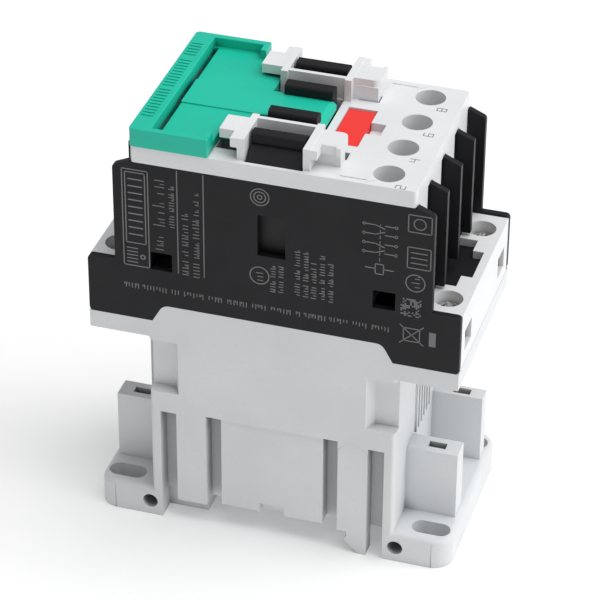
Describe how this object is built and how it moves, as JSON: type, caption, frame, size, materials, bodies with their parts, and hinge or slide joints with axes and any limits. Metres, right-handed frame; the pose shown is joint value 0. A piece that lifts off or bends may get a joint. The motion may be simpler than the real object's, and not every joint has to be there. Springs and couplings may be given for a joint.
{
  "type": "four-pole dc contactor relay",
  "caption": "Modular DC-coil contactor relay with screw terminals, black contact chamber, grey base and cover, green slide cover, red position flag and DIN rail feet.",
  "frame": {"origin": "centre of the flat mounting face, between the feet", "axes": "+Z from the mounting face to the front with the terminals' screws, +X towards the load-side terminals, Y across the poles"},
  "size_m": [0.0848, 0.0458, 0.1037],
  "materials": {
    "housing_grey": "fine spark-eroded satin",
    "cover_grey": "fine satin",
    "chamber_black": "satin, glass-filled",
    "guard_green": "satin",
    "indicator_red": "satin",
    "carrier_plastic": "matte",
    "bobbin_plastic": "matte",
    "pad_rubber": "matte",
    "magnet_steel": "zinc plated",
    "screw_steel": "bright zinc",
    "clamp_steel": "zinc plated",
    "spring_steel": "drawn wire",
    "copper_strip": "drawn copper",
    "winding_copper": "enamelled wire",
    "brass": "stamped",
    "silver_tip": "silver alloy"
  },
  "bodies": {
    "housing": {"base_housing": "housing_grey", "contact_chamber": "chamber_black", "front_cover": "cover_grey", "load_end_shroud": "cover_grey", "line_end_shroud": "cover_grey", "coil_terminal_plates": "brass", "coil_leads": "brass", "line_contacts": "copper_strip", "load_contacts": "copper_strip", "fixed_contact_tips": "silver_tip", "shock_pad": "pad_rubber", "magnet_yoke": "magnet_steel", "yoke_top_plate": "magnet_steel", "fixed_core": "magnet_steel", "coil_bobbin": "bobbin_plastic", "coil_winding": "winding_copper", "return_spring": "spring_steel"},
    "carrier": {"contact_carrier": "carrier_plastic", "armature_plunger": "magnet_steel", "carrier_pin": "screw_steel", "position_indicator": "indicator_red", "open_pole_springs": "spring_steel", "closed_pole_springs": "spring_steel"},
    "open_bridges": {"open_pole_bridges": "copper_strip", "open_pole_bridge_tips": "silver_tip"},
    "closed_bridges": {"closed_pole_bridges": "copper_strip", "closed_pole_bridge_tips": "silver_tip"},
    "slide_cover": {"slide_cover": "guard_green"},
    "rail_snap": {"rail_snap_arms": "housing_grey"},
    "line_clamp_1": {"line_clamp_1": "clamp_steel"},
    "line_screw_1": {"line_screw_1": "screw_steel"},
    "line_clamp_2": {"line_clamp_2": "clamp_steel"},
    "line_screw_2": {"line_screw_2": "screw_steel"},
    "line_clamp_3": {"line_clamp_3": "clamp_steel"},
    "line_screw_3": {"line_screw_3": "screw_steel"},
    "line_clamp_4": {"line_clamp_4": "clamp_steel"},
    "line_screw_4": {"line_screw_4": "screw_steel"},
    "coil_clamp_line_near": {"coil_clamp_line_near": "clamp_steel"},
    "coil_screw_line_near": {"coil_screw_line_near": "screw_steel"},
    "coil_clamp_line_far": {"coil_clamp_line_far": "clamp_steel"},
    "coil_screw_line_far": {"coil_screw_line_far": "screw_steel"},
    "load_clamp_1": {"load_clamp_1": "clamp_steel"},
    "load_screw_1": {"load_screw_1": "screw_steel"},
    "load_clamp_2": {"load_clamp_2": "clamp_steel"},
    "load_screw_2": {"load_screw_2": "screw_steel"},
    "load_clamp_3": {"load_clamp_3": "clamp_steel"},
    "load_screw_3": {"load_screw_3": "screw_steel"},
    "load_clamp_4": {"load_clamp_4": "clamp_steel"},
    "load_screw_4": {"load_screw_4": "screw_steel"},
    "coil_clamp_load_near": {"coil_clamp_load_near": "clamp_steel"},
    "coil_screw_load_near": {"coil_screw_load_near": "screw_steel"},
    "coil_clamp_load_far": {"coil_clamp_load_far": "clamp_steel"},
    "coil_screw_load_far": {"coil_screw_load_far": "screw_steel"}
  },
  "joints": [
    {"name": "carrier_slide", "type": "slide", "parent": "housing", "child": "carrier", "axis": [0, 0, -1], "range_m": [0, 0.0045], "stiffness_N_per_m": 700, "springref_m": -0.004, "deforming": ["return_spring"]},
    {"name": "open_bridge_overtravel", "type": "slide", "parent": "carrier", "child": "open_bridges", "axis": [0, 0, 1], "range_m": [0, 0.0015], "deforming": ["open_pole_springs"]},
    {"name": "closed_bridge_overtravel", "type": "slide", "parent": "carrier", "child": "closed_bridges", "axis": [0, 0, 1], "range_m": [0, 0.0015], "deforming": ["closed_pole_springs"]},
    {"name": "slide_cover_off", "type": "slide", "parent": "housing", "child": "slide_cover", "axis": [-1, 0, 0], "range_m": [0, 0.05]},
    {"name": "rail_snap_flex", "type": "hinge", "parent": "housing", "child": "rail_snap", "pos_m": [0.019, 0, 0.027], "axis": [0, -1, 0], "range_deg": [0, 3], "stiffness_Nm_per_rad": 6},
    {"name": "line_clamp_1_travel", "type": "slide", "parent": "housing", "child": "line_clamp_1", "axis": [0, 0, -1], "range_m": [0, 0.0035]},
    {"name": "line_screw_1_turn", "type": "hinge", "parent": "line_clamp_1", "child": "line_screw_1", "pos_m": [-0.02425, -0.01702, 0.082], "axis": [0, 0, -1], "range_deg": [0, 1800]},
    {"name": "line_clamp_2_travel", "type": "slide", "parent": "housing", "child": "line_clamp_2", "axis": [0, 0, -1], "range_m": [0, 0.0035]},
    {"name": "line_screw_2_turn", "type": "hinge", "parent": "line_clamp_2", "child": "line_screw_2", "pos_m": [-0.02425, -0.00568, 0.082], "axis": [0, 0, -1], "range_deg": [0, 1800]},
    {"name": "line_clamp_3_travel", "type": "slide", "parent": "housing", "child": "line_clamp_3", "axis": [0, 0, -1], "range_m": [0, 0.0035]},
    {"name": "line_screw_3_turn", "type": "hinge", "parent": "line_clamp_3", "child": "line_screw_3", "pos_m": [-0.02425, 0.00568, 0.082], "axis": [0, 0, -1], "range_deg": [0, 1800]},
    {"name": "line_clamp_4_travel", "type": "slide", "parent": "housing", "child": "line_clamp_4", "axis": [0, 0, -1], "range_m": [0, 0.0035]},
    {"name": "line_screw_4_turn", "type": "hinge", "parent": "line_clamp_4", "child": "line_screw_4", "pos_m": [-0.02425, 0.01702, 0.082], "axis": [0, 0, -1], "range_deg": [0, 1800]},
    {"name": "coil_clamp_line_near_travel", "type": "slide", "parent": "housing", "child": "coil_clamp_line_near", "axis": [0, 0, -1], "range_m": [0, 0.0042]},
    {"name": "coil_screw_line_near_turn", "type": "hinge", "parent": "coil_clamp_line_near", "child": "coil_screw_line_near", "pos_m": [-0.03765, -0.0149, 0.065], "axis": [0, 0, -1], "range_deg": [0, 2520]},
    {"name": "coil_clamp_line_far_travel", "type": "slide", "parent": "housing", "child": "coil_clamp_line_far", "axis": [0, 0, -1], "range_m": [0, 0.0042]},
    {"name": "coil_screw_line_far_turn", "type": "hinge", "parent": "coil_clamp_line_far", "child": "coil_screw_line_far", "pos_m": [-0.03765, 0.0149, 0.065], "axis": [0, 0, -1], "range_deg": [0, 2520]},
    {"name": "load_clamp_1_travel", "type": "slide", "parent": "housing", "child": "load_clamp_1", "axis": [0, 0, -1], "range_m": [0, 0.0035]},
    {"name": "load_screw_1_turn", "type": "hinge", "parent": "load_clamp_1", "child": "load_screw_1", "pos_m": [0.02425, -0.01702, 0.082], "axis": [0, 0, -1], "range_deg": [0, 1800]},
    {"name": "load_clamp_2_travel", "type": "slide", "parent": "housing", "child": "load_clamp_2", "axis": [0, 0, -1], "range_m": [0, 0.0035]},
    {"name": "load_screw_2_turn", "type": "hinge", "parent": "load_clamp_2", "child": "load_screw_2", "pos_m": [0.02425, -0.00568, 0.082], "axis": [0, 0, -1], "range_deg": [0, 1800]},
    {"name": "load_clamp_3_travel", "type": "slide", "parent": "housing", "child": "load_clamp_3", "axis": [0, 0, -1], "range_m": [0, 0.0035]},
    {"name": "load_screw_3_turn", "type": "hinge", "parent": "load_clamp_3", "child": "load_screw_3", "pos_m": [0.02425, 0.00568, 0.082], "axis": [0, 0, -1], "range_deg": [0, 1800]},
    {"name": "load_clamp_4_travel", "type": "slide", "parent": "housing", "child": "load_clamp_4", "axis": [0, 0, -1], "range_m": [0, 0.0035]},
    {"name": "load_screw_4_turn", "type": "hinge", "parent": "load_clamp_4", "child": "load_screw_4", "pos_m": [0.02425, 0.01702, 0.082], "axis": [0, 0, -1], "range_deg": [0, 1800]},
    {"name": "coil_clamp_load_near_travel", "type": "slide", "parent": "housing", "child": "coil_clamp_load_near", "axis": [0, 0, -1], "range_m": [0, 0.0042]},
    {"name": "coil_screw_load_near_turn", "type": "hinge", "parent": "coil_clamp_load_near", "child": "coil_screw_load_near", "pos_m": [0.03765, -0.0149, 0.065], "axis": [0, 0, -1], "range_deg": [0, 2520]},
    {"name": "coil_clamp_load_far_travel", "type": "slide", "parent": "housing", "child": "coil_clamp_load_far", "axis": [0, 0, -1], "range_m": [0, 0.0042]},
    {"name": "coil_screw_load_far_turn", "type": "hinge", "parent": "coil_clamp_load_far", "child": "coil_screw_load_far", "pos_m": [0.03765, 0.0149, 0.065], "axis": [0, 0, -1], "range_deg": [0, 2520]}
  ],
  "couplings": [
    {"joint": "open_bridge_overtravel", "follows": "carrier_slide", "ratio": 0.33333},
    {"joint": "closed_bridge_overtravel", "follows": "carrier_slide", "ratio": 0.33333},
    {"joint": "line_screw_1_turn", "follows": "line_clamp_1_travel", "rad_per_m": 8976},
    {"joint": "line_screw_2_turn", "follows": "line_clamp_2_travel", "rad_per_m": 8976},
    {"joint": "line_screw_3_turn", "follows": "line_clamp_3_travel", "rad_per_m": 8976},
    {"joint": "line_screw_4_turn", "follows": "line_clamp_4_travel", "rad_per_m": 8976},
    {"joint": "coil_screw_line_near_turn", "follows": "coil_clamp_line_near_travel", "rad_per_m": 10472},
    {"joint": "coil_screw_line_far_turn", "follows": "coil_clamp_line_far_travel", "rad_per_m": 10472},
    {"joint": "load_screw_1_turn", "follows": "load_clamp_1_travel", "rad_per_m": 8976},
    {"joint": "load_screw_2_turn", "follows": "load_clamp_2_travel", "rad_per_m": 8976},
    {"joint": "load_screw_3_turn", "follows": "load_clamp_3_travel", "rad_per_m": 8976},
    {"joint": "load_screw_4_turn", "follows": "load_clamp_4_travel", "rad_per_m": 8976},
    {"joint": "coil_screw_load_near_turn", "follows": "coil_clamp_load_near_travel", "rad_per_m": 10472},
    {"joint": "coil_screw_load_far_turn", "follows": "coil_clamp_load_far_travel", "rad_per_m": 10472}
  ]
}
